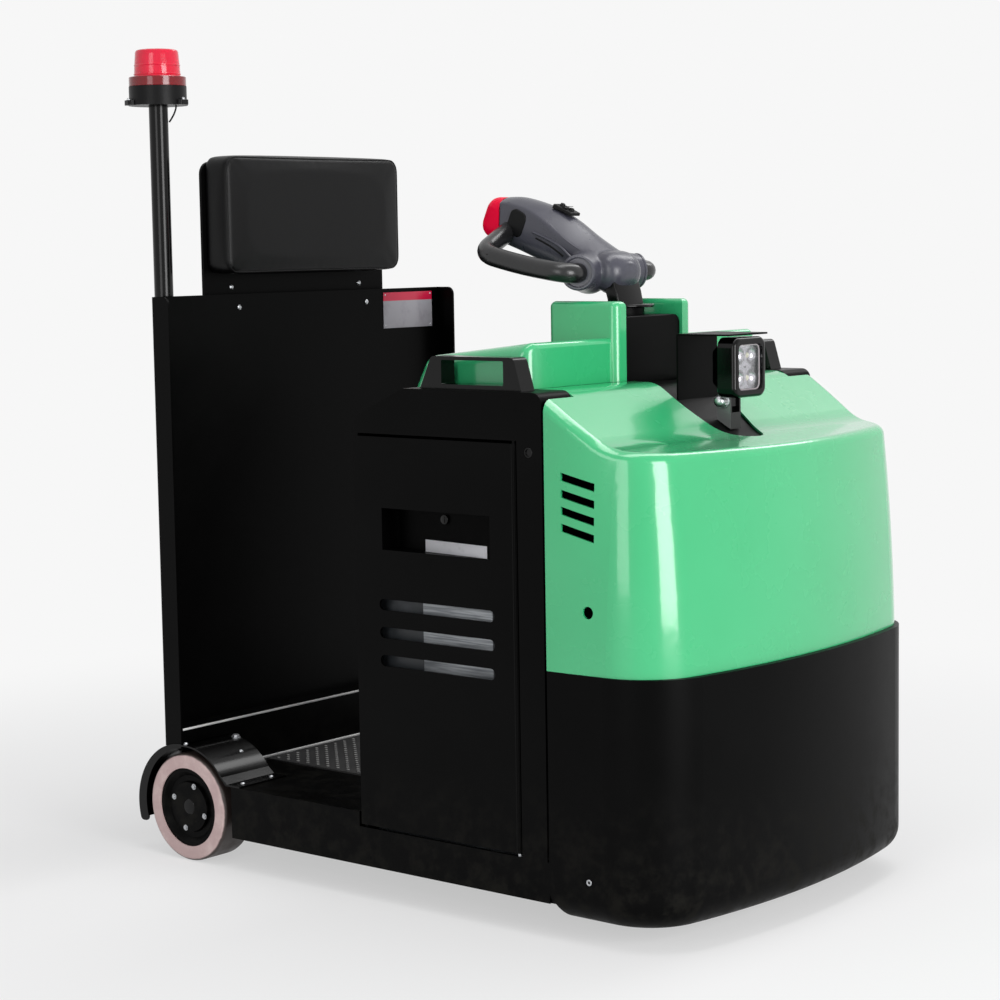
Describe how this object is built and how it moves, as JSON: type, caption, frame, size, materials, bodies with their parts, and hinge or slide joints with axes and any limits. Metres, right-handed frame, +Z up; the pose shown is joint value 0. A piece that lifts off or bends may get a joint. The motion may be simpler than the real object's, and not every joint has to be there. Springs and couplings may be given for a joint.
{
  "type": "stand-on tow tractor",
  "caption": "Stand-on electric baggage tug: low platform with backrest, battery body with swing doors, tiller, concave hood, steered drive wheel and stepped tow coupling.",
  "frame": {"origin": "centre of the bounding box's base, on the ground under the machine", "axes": "+X drives forwards, +Y to the operator's left, +Z up"},
  "size_m": [1.324, 0.791, 1.487],
  "materials": {
    "black_paint": "satin powder coat",
    "black_gloss": "gloss",
    "green_shell": "gloss",
    "mat_rubber": "matt, studded",
    "steel": "zinc plated",
    "cast_black": "painted casting",
    "cushion_cover": "imitation leather",
    "battery_block": "painted case",
    "clear_lens": "clear",
    "red_lens": "clear red",
    "red_plastic": "satin",
    "black_plastic": "satin",
    "grey_plastic": "satin",
    "polyurethane": "satin polyurethane"
  },
  "bodies": {
    "chassis": {"chassis_frame": "black_paint", "platform_mat": "mat_rubber", "rear_axle": "steel", "rear_panel": "black_paint", "kick_plate": "black_paint", "panel_posts": "black_paint", "backrest_plate": "black_paint", "backrest_cushion": "cushion_cover", "wheel_cover_right": "black_gloss", "wheel_cover_left": "black_gloss", "side_cover_right": "black_paint", "side_cover_left": "black_paint", "body_rear_wall": "black_paint", "door_pins": "steel", "battery": "battery_block", "front_skirt": "black_paint", "hood": "green_shell", "cowl": "green_shell", "column_box": "black_paint", "lamp_guard": "black_paint", "lamp_body": "black_gloss", "lamp_lens": "clear_lens", "lamp_foot": "steel", "grab_handle_right": "black_gloss", "grab_handle_left": "black_gloss", "beacon_pole": "black_gloss", "beacon_base": "black_plastic", "beacon_dome": "red_lens", "beacon_lead": "black_plastic", "tow_coupling": "cast_black", "coupling_carrier": "black_paint", "drive_deck": "black_paint"},
    "drive_unit": {"drive_case": "cast_black", "drive_motor": "cast_black"},
    "drive_wheel": {"drive_hub": "steel", "drive_tyre": "polyurethane"},
    "rear_wheel_right": {"rear_hub_right": "black_paint", "rear_tyre_right": "polyurethane"},
    "rear_wheel_left": {"rear_hub_left": "black_paint", "rear_tyre_left": "polyurethane"},
    "door_right": {"battery_door_right": "black_paint"},
    "door_left": {"battery_door_left": "black_paint"},
    "tiller": {"tiller_neck": "black_gloss", "tiller_head": "grey_plastic", "tiller_grips": "black_plastic", "tiller_switches": "black_plastic", "rear_button": "red_plastic"}
  },
  "joints": [
    {"name": "drive_steer", "type": "hinge", "parent": "chassis", "child": "drive_unit", "pos_m": [0.498, 0, 0.3], "axis": [0, 0, 1], "range_deg": [-75, 75]},
    {"name": "drive_wheel_spin", "type": "hinge", "parent": "drive_unit", "child": "drive_wheel", "pos_m": [0.498, 0, 0.115], "axis": [0, 1, 0], "continuous": true},
    {"name": "rear_wheel_right_spin", "type": "hinge", "parent": "chassis", "child": "rear_wheel_right", "pos_m": [-0.456, -0.3565, 0.1], "axis": [0, 1, 0], "continuous": true},
    {"name": "rear_wheel_left_spin", "type": "hinge", "parent": "chassis", "child": "rear_wheel_left", "pos_m": [-0.456, 0.3565, 0.1], "axis": [0, 1, 0], "continuous": true},
    {"name": "door_right_swing", "type": "hinge", "parent": "chassis", "child": "door_right", "pos_m": [0.334, -0.389, 0.469], "axis": [0, 0, 1], "range_deg": [0, 100]},
    {"name": "door_left_swing", "type": "hinge", "parent": "chassis", "child": "door_left", "pos_m": [0.334, 0.389, 0.469], "axis": [0, 0, -1], "range_deg": [0, 100]},
    {"name": "tiller_steer", "type": "hinge", "parent": "chassis", "child": "tiller", "pos_m": [0.26, 0, 1.02], "axis": [0, 0, 1], "range_deg": [-75, 75]}
  ],
  "couplings": [
    {"joint": "tiller_steer", "follows": "drive_steer", "ratio": 1}
  ]
}
